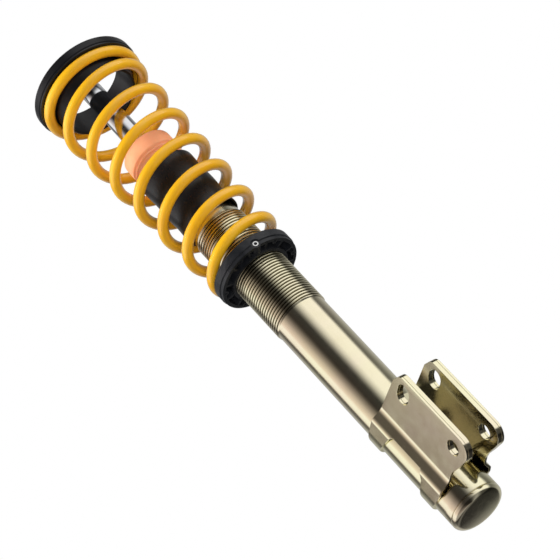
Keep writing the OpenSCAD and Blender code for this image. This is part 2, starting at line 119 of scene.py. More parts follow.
class Shader:
    """A principled material whose colour, roughness and bump come from procedural nodes."""

    def __init__(self, name, metallic=0.0, **values):
        self.material = bpy.data.materials.new(name)
        self.material.use_nodes = True
        self.tree = self.material.node_tree
        self.principled = self.tree.nodes["Principled BSDF"]
        self.principled.inputs["Metallic"].default_value = metallic
        for socket, value in values.items():
            self.principled.inputs[socket.replace("_", " ")].default_value = value
        self.place = self.node("TexCoord").outputs["Object"]
        self.last_bump = None

    def node(self, kind, **settings):
        made = self.tree.nodes.new("ShaderNode" + kind)
        for key, value in settings.items():
            setattr(made, key, value)
        return made

    def link(self, source, target):
        self.tree.links.new(source, target)

    def noise(self, scale, detail=3.0, stretch=None, distortion=0.0):
        """Noise of that many features a metre; stretch scales the axes one by one."""
        where = self.place
        if stretch:
            mapping = self.node("Mapping")
            mapping.inputs["Scale"].default_value = stretch
            self.link(where, mapping.inputs["Vector"])
            where = mapping.outputs["Vector"]
        noise = self.node("TexNoise")
        noise.inputs["Scale"].default_value = scale
        noise.inputs["Detail"].default_value = detail
        noise.inputs["Distortion"].default_value = distortion
        self.link(where, noise.inputs["Vector"])
        return noise.outputs["Fac"]

    def spread(self, source, low_value, high_value, start=0.3, end=0.7):
        """source from start to end, mapped to low_value to high_value."""
        ranged = self.node("MapRange")
        ranged.inputs["From Min"].default_value = start
        ranged.inputs["From Max"].default_value = end
        ranged.inputs["To Min"].default_value = low_value
        ranged.inputs["To Max"].default_value = high_value
        self.link(source, ranged.inputs["Value"])
        return ranged.outputs["Result"]

    def mix(self, factor, first, second):
        """Colour between first and second, which are colours or sockets."""
        mixed = self.node("Mix", data_type="RGBA")
        self.link(factor, mixed.inputs["Factor"])
        for socket, colour in ((mixed.inputs[6], first), (mixed.inputs[7], second)):
            if isinstance(colour, bpy.types.NodeSocket):
                self.link(colour, socket)
            else:
                socket.default_value = (*colour, 1)
        return mixed.outputs[2]

    def attribute(self, name):
        """A value stored on the mesh's points."""
        return self.node("Attribute", attribute_name=name).outputs["Fac"]

    def set(self, socket, source):
        """Drives one of the shader's own sockets from a node."""
        self.link(source, self.principled.inputs[socket])

    def bump(self, height, depth):
        """Adds a bump of that depth in metres, on top of the ones added before."""
        bump = self.node("Bump")
        bump.inputs["Distance"].default_value = depth
        self.link(height, bump.inputs["Height"])
        if self.last_bump:
            self.link(self.last_bump, bump.inputs["Normal"])
        self.last_bump = bump.outputs["Normal"]
        self.link(self.last_bump, self.principled.inputs["Normal"])


def gold_plating():
    """Yellow chromate over zinc: creamy gold that drifts to pinkish grey, darkened by painted
    shade at the thread's roots and on the bracket channel's inner face.
    """
    m = Shader("gold_plating", metallic=1.0)
    drift = m.spread(m.noise(14, detail=2), 0, 1, 0.38, 0.66)
    cream, pink = (0.96, 0.91, 0.62), (0.95, 0.84, 0.64)
    plating = m.mix(drift, cream, pink)
    cloud = m.spread(m.noise(90, detail=4), 0, 0.35, 0.45, 0.75)
    plating = m.mix(cloud, plating, (0.88, 0.80, 0.54))
    # Painted shade: where the mesh stores a shade value, the plating is mixed towards this near
    # black, at the thread's roots and on the channel's inner face.
    m.set("Base Color", m.mix(m.attribute("groove"), plating, (0.05, 0.038, 0.020)))
    m.set("Roughness", m.spread(m.noise(120, detail=5), 0.10, 0.17))
    m.bump(m.noise(1500, detail=2), 0.002 * MM)
    return m.material


def weld_metal():
    """The same plating over a weld bead, with a duller heat-stained surface."""
    m = Shader("weld_metal", metallic=1.0)
    stain = m.spread(m.noise(160, detail=4), 0, 1)
    m.set("Base Color", m.mix(stain, (0.72, 0.62, 0.38), (0.42, 0.34, 0.24)))
    m.set("Roughness", m.spread(m.noise(300, detail=3), 0.25, 0.45))
    m.bump(m.noise(700, detail=3), 0.05 * MM)
    return m.material


def spring_coat():
    """Glossy yellow powder coat with orange peel."""
    m = Shader("spring_coat", Coat_Weight=1.0, Coat_Roughness=0.07)
    shade = m.spread(m.noise(30, detail=3), 0, 1)
    m.set("Base Color", m.mix(shade, (0.95, 0.52, 0.016), (0.90, 0.45, 0.012)))
    m.set("Roughness", m.spread(m.noise(200, detail=3), 0.27, 0.38))
    m.bump(m.noise(420, detail=1), 0.05 * MM)
    return m.material


def black_composite():
    """Glass-filled moulded composite: near black, satin, with a fine grain."""
    m = Shader("black_composite")
    flow = m.spread(m.noise(60, detail=5, distortion=1.5), 0, 1)
    m.set("Base Color", m.mix(flow, (0.008, 0.009, 0.011), (0.020, 0.021, 0.024)))
    m.set("Roughness", m.spread(m.noise(350, detail=4), 0.34, 0.52))
    m.bump(m.noise(2400, detail=2), 0.03 * MM)
    m.bump(m.noise(300, detail=3), 0.03 * MM)
    return m.material


def black_coat():
    """Satin black electrocoat on steel."""
    m = Shader("black_coat", Specular_IOR_Level=0.3)
    shade = m.spread(m.noise(40, detail=4), 0, 1)
    m.set("Base Color", m.mix(shade, (0.006, 0.006, 0.007), (0.014, 0.014, 0.016)))
    m.set("Roughness", m.spread(m.noise(150, detail=4), 0.30, 0.42))
    m.bump(m.noise(900, detail=2), 0.02 * MM)
    return m.material


def black_rubber():
    """Moulded rubber with a soft sheen and a little bloom."""
    m = Shader("black_rubber", Specular_IOR_Level=0.4)
    bloom = m.spread(m.noise(35, detail=5), 0, 1, 0.35, 0.8)
    m.set("Base Color", m.mix(bloom, (0.006, 0.006, 0.007), (0.013, 0.013, 0.014)))
    m.set("Roughness", m.spread(m.noise(250, detail=4), 0.26, 0.36))
    m.bump(m.noise(1400, detail=3), 0.03 * MM)
    return m.material


def orange_urethane():
    """Cellular urethane: soft, slightly waxy, with tiny pores."""
    m = Shader("orange_urethane", Subsurface_Weight=0.25, Subsurface_Scale=4 * MM)
    m.principled.inputs["Subsurface Radius"].default_value = (1.0, 0.45, 0.2)
    shade = m.spread(m.noise(70, detail=4), 0, 1)
    m.set("Base Color", m.mix(shade, (0.93, 0.45, 0.25), (0.87, 0.38, 0.20)))
    m.set("Roughness", m.spread(m.noise(500, detail=3), 0.42, 0.6))
    m.bump(m.noise(2600, detail=3), 0.05 * MM)
    return m.material


def hard_chrome():
    """Ground and chromed rod with very fine rings from grinding."""
    m = Shader("hard_chrome", metallic=1.0)
    haze = m.spread(m.noise(50, detail=3), 0, 1)
    m.set("Base Color", m.mix(haze, (0.82, 0.83, 0.85), (0.74, 0.75, 0.78)))
    m.set("Roughness", m.spread(m.noise(400, detail=4, stretch=(0.2, 0.2, 1)), 0.05, 0.12))
    m.bump(m.noise(3000, detail=1, stretch=(0.02, 0.02, 1)), 0.002 * MM)
    return m.material


def machined(name, light, dark, rough=0.32):
    """Turned or pressed metal with fine tool marks round the axis."""
    m = Shader(name, metallic=1.0)
    marks = m.noise(1200, detail=2, stretch=(0.05, 0.05, 1))
    m.set("Base Color", m.mix(m.spread(m.noise(80, detail=4), 0, 1), light, dark))
    m.set("Roughness", m.spread(marks, rough - 0.08, rough + 0.08))
    m.bump(marks, 0.01 * MM)
    return m.material


def dark_metal():
    """Black oxide on the lock screw."""
    m = Shader("dark_metal", metallic=0.7)
    m.set("Base Color", m.mix(m.noise(500), (0.05, 0.05, 0.055), (0.11, 0.11, 0.12)))
    m.set("Roughness", m.spread(m.noise(700), 0.35, 0.5))
    m.bump(m.noise(1800), 0.01 * MM)
    return m.material


GOLD = gold_plating()
WELD = weld_metal()
YELLOW = spring_coat()
COMPOSITE = black_composite()
BLACK_COAT = black_coat()
RUBBER = black_rubber()
ORANGE = orange_urethane()
CHROME = hard_chrome()
STEEL = machined("machined_steel", (0.60, 0.61, 0.63), (0.48, 0.49, 0.51))
BRIGHT = machined("bright_insert", (0.86, 0.86, 0.84), (0.74, 0.74, 0.73), rough=0.22)
BRONZE = machined("sintered_bronze", (0.50, 0.34, 0.17), (0.38, 0.26, 0.14), rough=0.45)
BAND = machined("filled_band", (0.26, 0.23, 0.19), (0.20, 0.18, 0.15), rough=0.5)
OXIDE = dark_metal()


# ------------------------------------------------------------------ mesh building

def finish_mesh(mesh, material, sharp_deg=40):
    """Sets the material, and smooth shading except across edges sharper than sharp_deg."""
    mesh.materials.clear()
    mesh.materials.append(material)
    mesh.validate()
    for face in mesh.polygons:
        face.use_smooth = True
    mesh.set_sharp_from_angle(angle=math.radians(sharp_deg))
    mesh.update()


def add_piece(name, mesh, material, body, sharp_deg):
    """A new piece that rides on a body and takes the given material."""
    finish_mesh(mesh, material, sharp_deg)
    piece = bpy.data.objects.new(name, mesh)
    bpy.context.scene.collection.objects.link(piece)
    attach(piece, body)
    return piece


def mesh_from(name, points, faces):
    """Mesh from a list of points and the point numbers of each face."""
    mesh = bpy.data.meshes.new(name)
    mesh.from_pydata([tuple(p) for p in points], [], faces)
    return mesh


def join_meshes(name, parts):
    """One mesh from several (points, faces) lists."""
    points, faces = [], []
    for part_points, part_faces in parts:
        start = len(points)
        points.extend(part_points)
        faces.extend([tuple(i + start for i in face) for face in part_faces])
    return mesh_from(name, points, faces)


def grid_faces(rows, columns, wrap_rows=False):
    """Quads between rows of points, where each row is a closed ring of that many columns."""
    faces = []
    for r in range(rows if wrap_rows else rows - 1):
        for c in range(columns):
            next_r, next_c = (r + 1) % rows, (c + 1) % columns
            faces.append((
                r * columns + c, r * columns + next_c,
                next_r * columns + next_c, next_r * columns + c,
            ))
    return faces


def fillet(outline, rounding, steps=4):
    """A closed outline of (a, b) points with its corners rounded to about that radius."""
    nearly_straight = math.radians(88)
    points = [Vector(p) for p in outline]
    rounded = []
    for i, corner in enumerate(points):
        before, after = points[i - 1] - corner, points[(i + 1) % len(points)] - corner
        half = before.angle(after) / 2
        if half > nearly_straight:
            rounded.append(tuple(corner))
            continue
        reach = min(rounding / math.tan(half), 0.45 * before.length, 0.45 * after.length)
        start = corner + before.normalized() * reach
        end = corner + after.normalized() * reach
        for k in range(steps + 1):
            t = k / steps
            rounded.append(tuple(start * (1 - t) ** 2 + corner * (2 * t * (1 - t)) + end * t ** 2))
    return rounded


def turned(profile, segments=128):
    """Points and faces of a closed (r, z) outline turned about the strut's axis."""
    points = []
    for r, z in profile:
        for i in range(segments):
            a = TAU * i / segments
            points.append((r * math.cos(a), r * math.sin(a), z))
    return points, grid_faces(len(profile), segments, wrap_rows=True)


def arc(centre, r, start_deg, end_deg, steps):
    """Points along an arc."""
    turns = np.radians(np.linspace(start_deg, end_deg, steps + 1))
    return [(centre[0] + r * math.cos(a), centre[1] + r * math.sin(a)) for a in turns]


def weld_together(mesh):
    """Joins points that coincide and drops the empty faces that this leaves."""
    work = bmesh.new()
    work.from_mesh(mesh)
    bmesh.ops.remove_doubles(work, verts=work.verts, dist=SAME_PLACE)
    bmesh.ops.dissolve_degenerate(work, edges=work.edges, dist=SAME_PLACE)
    bmesh.ops.recalc_face_normals(work, faces=work.faces)
    work.to_mesh(mesh)
    work.free()


# ------------------------------------------------------------------ threads

def thread_height(turn):
    """Height from 0 at the thread's root to 1 on the crest, for a part of a turn from 0 to 1."""
    flat, flank = 0.16, 0.24
    away = abs(turn - 0.5) * 2
    crest = 1 - flat - 2 * flank
    if away > 1 - flat:
        return 0.0
    rise = min(1.0, (1 - flat - away) / (1 - flat - crest))
    return math.sin(rise * math.pi / 2) ** 0.9


def helical_thread(low_z, high_z, crest_r, depth, pitch, columns=112, rows_a_turn=14, end_r=None):
    """Points, faces and painted shade values (0 to 1, darkest at the root) of a right-hand thread
    that fades out at both ends, down to end_r or to its root."""
    end_r = crest_r - depth if end_r is None else end_r
    turns = (high_z - low_z) / pitch
    rows = int((turns + 2) * rows_a_turn)
    fade = 0.6 * pitch
    points, grooves = [], []
    for j in range(rows + 1):
        for i in range(columns):
            share = i / columns
            z = low_z + pitch * (j / rows_a_turn - 1 + share)
            z = min(max(z, low_z), high_z)
            height = thread_height((j / rows_a_turn) % 1.0)
            edge = min(1.0, (z - low_z) / fade, (high_z - z) / fade)
            r = crest_r - depth + depth * height
            r = end_r + (r - end_r) * edge
            a = TAU * share
            points.append((r * math.cos(a), r * math.sin(a), z))
            # Painted shade at the thread's roots: 1 at the root, 0 on the crest.
            grooves.append(edge * (1 - height))
    faces = []
    for j in range(rows):
        for i in range(columns):
            if i < columns - 1:
                faces.append((j * columns + i, j * columns + i + 1,
                              (j + 1) * columns + i + 1, (j + 1) * columns + i))
            elif j + 1 + rows_a_turn <= rows:
                lap = j + rows_a_turn
                faces.append((j * columns + i, lap * columns, (lap + 1) * columns,
                              (j + 1) * columns + i))
    return points, faces, grooves


def set_grooves(mesh, values):
    """Stores the painted shade values on the points that the mesh keeps; other points get 0."""
    layer = mesh.attributes.new("groove", "FLOAT", "POINT")
    layer.data.foreach_set("value", values)


# ------------------------------------------------------------------ body tube

def build_body_tube():
    """Plain tube below, helical adjuster thread above, and a short neck at the open top."""
    thread, thread_faces, grooves = helical_thread(
        THREAD_LOW, THREAD_HIGH, THREAD_R, THREAD_DEPTH, THREAD_PITCH, end_r=BODY_R)
    seam = low("body_tube")
    mouth = top("body_tube")
    neck_r = BODY_R - 0.3 * MM
    plain = [(BODY_R, z) for z in np.linspace(seam + 0.4 * MM, THREAD_LOW - 0.5 * MM, 30)]
    outline = [(BORE_R, seam), (BODY_R - 0.4 * MM, seam)] + plain
    outline += [(BODY_R, THREAD_LOW), (BODY_R - 2 * MM, THREAD_LOW)]
    outline += [(BODY_R - 2 * MM, THREAD_HIGH), (BODY_R, THREAD_HIGH)]
    outline += [(neck_r, THREAD_HIGH + 0.6 * MM)]
    outline += [(neck_r, mouth - 1 * MM), (neck_r - 1 * MM, mouth), (BORE_R + 0.5 * MM, mouth)]
    outline += [(BORE_R, mouth - 0.5 * MM)]
    shell, shell_faces = turned(outline)
    mesh = join_meshes("body_tube_threaded", [(thread, thread_faces), (shell, shell_faces)])
    # Painted shade darkens the thread's roots. The plain shell gets none.
    set_grooves(mesh, grooves + [0.0] * len(shell))
    weld_together(mesh)
    piece = add_piece("body_tube_threaded", mesh, GOLD, "body", 50)
    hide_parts("body_tube")


def build_base_cap():
    """Closed lower end: slightly domed face, rounded edge and a fine seam to the tube."""
    seam = low("body_tube")
    round_r = 6 * MM
    lean_deg = 3
    lean = math.radians(lean_deg)
    dome_r = (BODY_R - round_r) / math.sin(lean) + round_r
    edge_z = dome_r - (dome_r - round_r) * math.cos(lean)
    outline = arc((0, dome_r), dome_r, -89.99, lean_deg - 90, 12)
    outline += arc((BODY_R - round_r, edge_z), round_r, lean_deg - 90, 0, 12)
    outline += [(BODY_R, seam - 0.5 * MM), (BODY_R - 0.35 * MM, seam - 0.1 * MM),
                (BODY_R - 0.5 * MM, seam), (BORE_R, seam), (BORE_R, top("base_cap") - 1 * MM),
                (BORE_R - 1 * MM, top("base_cap")), (8 * MM, top("base_cap")),
                (8 * MM, seam), (0.01 * MM, seam)]
    points, faces = turned(outline)
    mesh = mesh_from("closed_end", points, faces)
    weld_together(mesh)
    piece = add_piece("closed_end", mesh, GOLD, "body", 50)
    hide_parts("base_cap")


# ------------------------------------------------------------------ knuckle bracket

class Strip:
    """The middle line of a bent sheet in the XY plane, mirrored about the X axis. Distance runs
    from the middle of the strip, and is negative on the -Y side."""

    def __init__(self, half_path, step=0.25 * MM):
        dense = [Vector(half_path[0])]
        for end in half_path[1:]:
            start, end = dense[-1].copy(), Vector(end)
            pieces = max(1, int((end - start).length / step))
            dense += [start.lerp(end, (k + 1) / pieces) for k in range(pieces)]
        self.points = np.array(dense)
        steps = np.linalg.norm(np.diff(self.points, axis=0), axis=1)
        self.distance = np.concatenate([[0], np.cumsum(steps)])
        tangent = np.gradient(self.points, self.distance, axis=0)
        tangent /= np.linalg.norm(tangent, axis=1)[:, None]
        self.tangent = tangent

    @property
    def length(self):
        return self.distance[-1]

    def at_x(self, x):
        """Distance along the +Y half where the strip reaches that X."""
        if x <= self.points[0, 0]:
            return 0.0
        return float(np.interp(x, self.points[:, 0], self.distance))

    def place(self, along, off):
        """XY position at a distance along the strip, off towards its outer side."""
        side = 1 if along >= 0 else -1
        x, y = (np.interp(abs(along), self.distance, self.points[:, k]) for k in (0, 1))
        tx, ty = (np.interp(abs(along), self.distance, self.tangent[:, k]) for k in (0, 1))
        return x - off * ty, side * (y + off * tx)


def flat_plate(name, outline, holes, thickness, edge_r):
    """Mesh of a flat plate in (along, up) with round holes and rounded edges, middle at 0."""
    curve = bpy.data.curves.new(name, "CURVE")
    curve.dimensions = "2D"
    curve.fill_mode = "BOTH"
    curve.extrude = thickness / 2 - edge_r
    curve.bevel_depth = edge_r
    curve.bevel_resolution = 2
    curve.offset = -edge_r
    for loop in [outline] + holes:
        spline = curve.splines.new("POLY")
        spline.points.add(len(loop) - 1)
        for point, (a, b) in zip(spline.points, loop):
            point.co = (a, b, 0, 1)
        spline.use_cyclic_u = True
    shaper = bpy.data.objects.new(name, curve)
    bpy.context.scene.collection.objects.link(shaper)
    depsgraph = bpy.context.evaluated_depsgraph_get()
    mesh = bpy.data.meshes.new_from_object(shaper.evaluated_get(depsgraph))
    bpy.data.objects.remove(shaper)
    return mesh


def keep_flats_flat(piece):
    """Large flat faces keep their own normals, so that only the rounded edges shade round."""
    weighted = piece.modifiers.new("flats", "WEIGHTED_NORMAL")
    weighted.keep_sharp = True
    weighted.weight = 100


def bend_plate(mesh, strip, cuts, inner_shade=0.0):
    """Bends a flat plate's mesh along a strip, after cutting it across at those distances. Painted
    shade darkens the plating on its inner face by inner_shade."""
    work = bmesh.new()
    work.from_mesh(mesh)
    bmesh.ops.remove_doubles(work, verts=work.verts, dist=SAME_PLACE)
    for along in cuts:
        everything = work.verts[:] + work.edges[:] + work.faces[:]
        bmesh.ops.bisect_plane(work, geom=everything, dist=1e-7,
                               plane_co=(along, 0, 0), plane_no=(1, 0, 0))
    # A layer of painted shade for the plating's shader, set on the inner face only.
    shade = work.verts.layers.float.new("groove")
    inner_face = min(vert.co.z for vert in work.verts) + 0.01 * MM
    for vert in work.verts:
        along, up, off = vert.co
        x, y = strip.place(along, off)
        vert.co = (x, y, up)
        vert[shade] = inner_shade if off < inner_face else 0.0
    bmesh.ops.recalc_face_normals(work, faces=work.faces)
    work.to_mesh(mesh)
    work.free()


def both_sides(values):
    """Distances along the strip on both sides of its middle, in order."""
    return sorted(set([-v for v in values] + list(values)))


def ear_outline(strip, start):
    """Outline of one ear from the points in start, round its outer edge, to the foot of its upper
    edge, as (along, up). Start holds (x, z) in millimetres."""
    low_corner, high_corner, toe = 13 * MM, 8 * MM, 13.5 * MM
    reach = strip.length
    lower = [(strip.at_x(x * MM), z * MM) for x, z in start + [(52, 19)]]
    turn = arc((reach - low_corner, toe + low_corner), low_corner, -115, 0, 16)
    tip = arc((reach - high_corner, 104 * MM), high_corner, 0, 68, 8)
    return lower + turn + tip + [(strip.at_x(70.6 * MM), 114.8 * MM)]


def bolt_loops(strip):
    """Round lower hole and camber slot of one ear, as loops of (along, up)."""
    middle = strip.at_x(BOLT_X)
    lower = arc((middle, BOLT_LOW_Z), BOLT_R, 0, 352.5, 47)
    slot = arc((middle + SLOT_HALF, BOLT_HIGH_Z), BOLT_R, -90, 90, 20)
    slot += arc((middle - SLOT_HALF, BOLT_HIGH_Z), BOLT_R, 90, 270, 20)
    return [lower, slot]


def mirrored(loop):
    """The same loop on the other side of the strip's middle."""
    return [(-a, b) for a, b in reversed(loop)]


def build_knuckle_bracket():
    """Outer sheet: wraps the tube in two bands and makes the outer half of each ear."""
    mid = SHEET_T / 2
    wrap_r = BODY_R + mid + 0.05 * MM
    side_x, bend = 14 * MM, 40
    inner_bend = 6 * MM - mid
    outer_bend = 8 * MM + mid
    ear_y = EAR_OUT - mid
    start = (side_x, wrap_r - inner_bend)
    off = arc(start, inner_bend, 90, 90 - bend, 10)
    drop = off[-1][1] - ear_y - outer_bend * (1 - math.cos(math.radians(bend)))
    run = drop / math.tan(math.radians(bend)) + outer_bend * math.sin(math.radians(bend))
    onto = arc((off[-1][0] + run, ear_y + outer_bend), outer_bend, 270 - bend, 270, 12)
    path = arc((0, 0), wrap_r, 180, 90, 60) + off + onto + [(EAR_REACH, ear_y)]
    strip = Strip(path)

    foot = [(-16, 33), (-8, 30), (0, 27), (10, 25), (34, 25.6), (40, 24.4)]
    side = ear_outline(strip, foot) + [(strip.at_x(26 * MM), 121 * MM)]
    outline = [(0, 35.7 * MM)] + side + [(0, 122.5 * MM)] + mirrored(side)
    edge = [(-4, 48), (8, 49.5), (17, 54.5), (17, 93.5), (13.5, 97), (0, 101.5), (-16, 108)]
    edge = [(strip.at_x(x * MM), z * MM) for x, z in edge]
    window = edge + [(0, 110.3 * MM)] + mirrored(edge) + [(0, 48 * MM)]
    holes = [fillet(window, 2 * MM, 6)]
    for loop in bolt_loops(strip):
        holes += [loop, mirrored(loop)]
    mesh = flat_plate("bracket_sheet", outline, holes, SHEET_T, EDGE_R)
    bends = np.arange(0, strip.at_x(34 * MM), 1.0 * MM)
    bend_plate(mesh, strip, both_sides(bends))
    piece = add_piece("bracket_sheet", mesh, GOLD, "body", 35)
    keep_flats_flat(piece)
    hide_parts("knuckle_bracket")


def build_bracket_bridge():
    """Inner channel: a web by the tube and the inner half of each ear."""
    low_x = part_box("bracket_bridge")[0][0]
    thick = EAR_OUT - SHEET_T - EAR_IN
    mid_x = low_x + thick / 2
    mid_y = EAR_IN + thick / 2
    turn = 4.6 * MM
    path = [(mid_x, 0)] + arc((mid_x + turn, mid_y - turn), turn, 180, 90, 12)
    path += [(EAR_REACH, mid_y - 0.02 * MM)]
    strip = Strip(path)
    web_low = 43
    side = ear_outline(strip, [(low_x / MM + 4.5, web_low), (46, 21.7)])
    side.append((strip.at_x(34 * MM), 119.6 * MM))
    outline = [(0, web_low * MM)] + side + [(0, 120.8 * MM)] + mirrored(side)
    holes = []
    for loop in bolt_loops(strip):
        holes += [loop, mirrored(loop)]
    mesh = flat_plate("bracket_channel", outline, holes, thick, EDGE_R)
    cuts = np.arange(mid_y - turn - 0.5 * MM, strip.at_x(36 * MM), 0.5 * MM)
    # The channel's inner face gets painted shade of 0.4, standing in for the shade between the
    # ears.
    bend_plate(mesh, strip, both_sides(cuts), inner_shade=0.4)
    piece = add_piece("bracket_channel", mesh, GOLD, "body", 35)
    keep_flats_flat(piece)
    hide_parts("bracket_bridge")


def build_welds():
    """Rippled beads down both seams between the channel and the tube."""
    box_low, box_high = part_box("bracket_welds")
    bead_y = 10 * MM
    bead_x = math.sqrt(BODY_R ** 2 - bead_y ** 2) + 0.9 * MM
    height = box_high[2] - box_low[2]
    sides, rows = 16, 170
    bead_r, squeeze = 2.1, 0.8
    ripple_height, ripple_pitch, roughness = 0.16, 2.4 * MM, 0.08
    parts = []
    for side in (-1, 1):
        points = []
        for j in range(rows + 1):
            share = j / rows
            z = box_low[2] + height * share
            end = min(1.0, 12 * share, 12 * (1 - share)) ** 0.5
            ripple = ripple_height * math.sin(TAU * share * height / ripple_pitch)
            ripple += roughness * random.uniform(-1, 1)
            r = (bead_r + ripple) * MM * max(end, 0.15)
            for i in range(sides):
                a = TAU * i / sides
                points.append((bead_x + squeeze * r * math.cos(a),
                               side * (bead_y + r * math.sin(a)), z))
        faces = grid_faces(rows + 1, sides)
        faces += [tuple(range(sides)), tuple(rows * sides + i for i in range(sides))]
        parts.append((points, faces))
    mesh = join_meshes("weld_beads", parts)
    weld_together(mesh)
    piece = add_piece("weld_beads", mesh, WELD, "body", 60)
    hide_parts("bracket_welds")


# ------------------------------------------------------------------ spring

def build_spring():
    """Tapering spring with flat dead coils, swept as one tube with cut ends."""
    sides, rings_a_turn = 24, 56
    seat_gap = 0.3 * MM
    cut_end_scale = 0.86
    wire_low = SEAT_Z + WIRE_R + seat_gap
    wire_high = PAD_FACE_Z - WIRE_R - seat_gap
    active = (wire_high - wire_low) / COIL_PITCH
    turns = DEAD_LOW + active + DEAD_HIGH
    rings = int(turns * rings_a_turn)

    def centre(t):
        """Middle of the wire after t turns from where the coils start to rise."""
        a = COIL_START + TAU * t
        r = COIL_LOW_R + COIL_FLARE * t
        lift = 0.06
        rise = min(max(t, 0), active)
        if abs(t) < lift:
            rise = (t + lift) ** 2 / (4 * lift)
        if abs(t - active) < lift:
            rise = active - (active + lift - t) ** 2 / (4 * lift)
        return Vector((r * math.cos(a), r * math.sin(a), wire_low + COIL_PITCH * rise))

    points = []
    for i in range(rings + 1):
        t = -DEAD_LOW + turns * i / rings
        here = centre(t)
        ahead = (centre(t + 0.001) - centre(t - 0.001)).normalized()
        out = Vector((here.x, here.y, 0)).normalized()
        out = (out - ahead * out.dot(ahead)).normalized()
        up = out.cross(ahead)
        shrink = cut_end_scale if i in (0, rings) else 1.0
        for s in range(sides):
            b = TAU * s / sides
            points.append(here + (out * math.cos(b) + up * math.sin(b)) * WIRE_R * shrink)
    faces = grid_faces(rings + 1, sides)
    faces += [tuple(range(sides)), tuple(rings * sides + s for s in range(sides))]
    mesh = mesh_from("spring_wire", points, faces)
    weld_together(mesh)
    piece = add_piece("spring_wire", mesh, YELLOW, "spring", 60)
    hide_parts("coil_spring")
    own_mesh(piece)


# ------------------------------------------------------------------ turned pieces

def add_turned(name, outline, material, body, replaced, rounding=0.4 * MM):
    """A piece turned from an outline with rounded corners, in place of a CAD node."""
    points, faces = turned(fillet(outline, rounding))
    mesh = mesh_from(name, points, faces)
    weld_together(mesh)
    piece = add_piece(name, mesh, material, body, 50)
    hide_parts(replaced)


def build_upper_perch():
    """Flanged ring with a tapering collar inside the first coil, and the rubber liner below it."""
    face, pad_top = PAD_FACE_Z, top("upper_spring_pad")
    foot, high = low("upper_perch"), top("upper_perch")
    rim = radius("upper_perch")
    hole, collar = 37.5 * MM, 43.9 * MM
    outline = [(hole, foot + 0.6 * MM), (hole + 0.6 * MM, foot), (hole + 1.6 * MM, foot),
               (hole + 2.3 * MM, foot + 0.8 * MM), (collar, face - 10.2 * MM), (collar, pad_top),
               (rim - 0.6 * MM, pad_top), (rim, pad_top + 0.8 * MM), (rim, high - 1.5 * MM),
               (rim - 1.5 * MM, high), (hole + 1.5 * MM, high), (hole, high - 1.5 * MM)]
    add_turned("upper_perch_ring", outline, BLACK_COAT, "upper_seat",
               "upper_perch")
    lip_r, lip_low = collar + 0.9 * MM, low("upper_spring_pad")
    pad_r = rim - 0.8 * MM
    outline = [(collar, lip_low), (lip_r - 0.4 * MM, lip_low), (lip_r, lip_low + 0.4 * MM),
               (lip_r, face), (pad_r, face), (pad_r, pad_top), (collar, pad_top)]
    add_turned("spring_pad", outline, RUBBER, "upper_seat", "upper_spring_pad")


def build_bump_stop():
    """Long upper lobe, a bead between two narrow recessed rings, and a foot inside the boot's
    collar.
    """
    z, high = low("bump_stop"), top("bump_stop")
    r = radius("bump_stop")
    bore = ROD_R + 0.08 * MM
    upper, lower = z + 14.5 * MM, z + 10.5 * MM
    foot, root, bead = r - 1 * MM, r - 2.4 * MM, r - 0.8 * MM
    outline = [(bore, z), (foot - 1.5 * MM, z), (foot, z + 1.5 * MM), (foot, lower - 1.4 * MM)]
    outline += [(root, lower), (bead, lower + 1.3 * MM), (bead, upper - 1.3 * MM), (root, upper)]
    outline += [(r, upper + 1.8 * MM)] + arc((r - 4 * MM, high - 4 * MM), 4 * MM, 0, 90, 8)
    outline += [(bore + 2 * MM, high), (bore, high - 2 * MM)]
    add_turned("bump_stop_foam", outline, ORANGE, "bump", "bump_stop", 0.8 * MM)


def build_boot():
    """Thin boot with two soft bulges, a rounded shoulder and a plain lip."""
    lip, shoulder_top = low("dust_boot"), top("dust_boot")
    r = radius("dust_boot")
    wall, wave, round_r = 1.6 * MM, 0.8 * MM, 4 * MM
    shoulder = shoulder_top - 4.4 * MM

    def face(inset):
        """The outer face from lip to shoulder, or with an inset the inner face."""
        steps = 40
        side = []
        for i in range(steps + 1):
            share = i / steps
            waist = wave * (1 - math.cos(2 * TAU * share)) / 2
            side.append((r - inset - waist, lip + (shoulder - lip) * share))
        return side + arc((r - round_r, shoulder), round_r - inset, 12, 78, 8)

    collar = ROD_R + 1.4 * MM
    outline = face(0) + [(r - round_r, shoulder_top), (collar, shoulder_top),
                         (collar, shoulder_top - 2.3 * MM)] + face(wall)[::-1]
    add_turned("rubber_boot", outline, RUBBER, "bump", "dust_boot", 0.25 * MM)


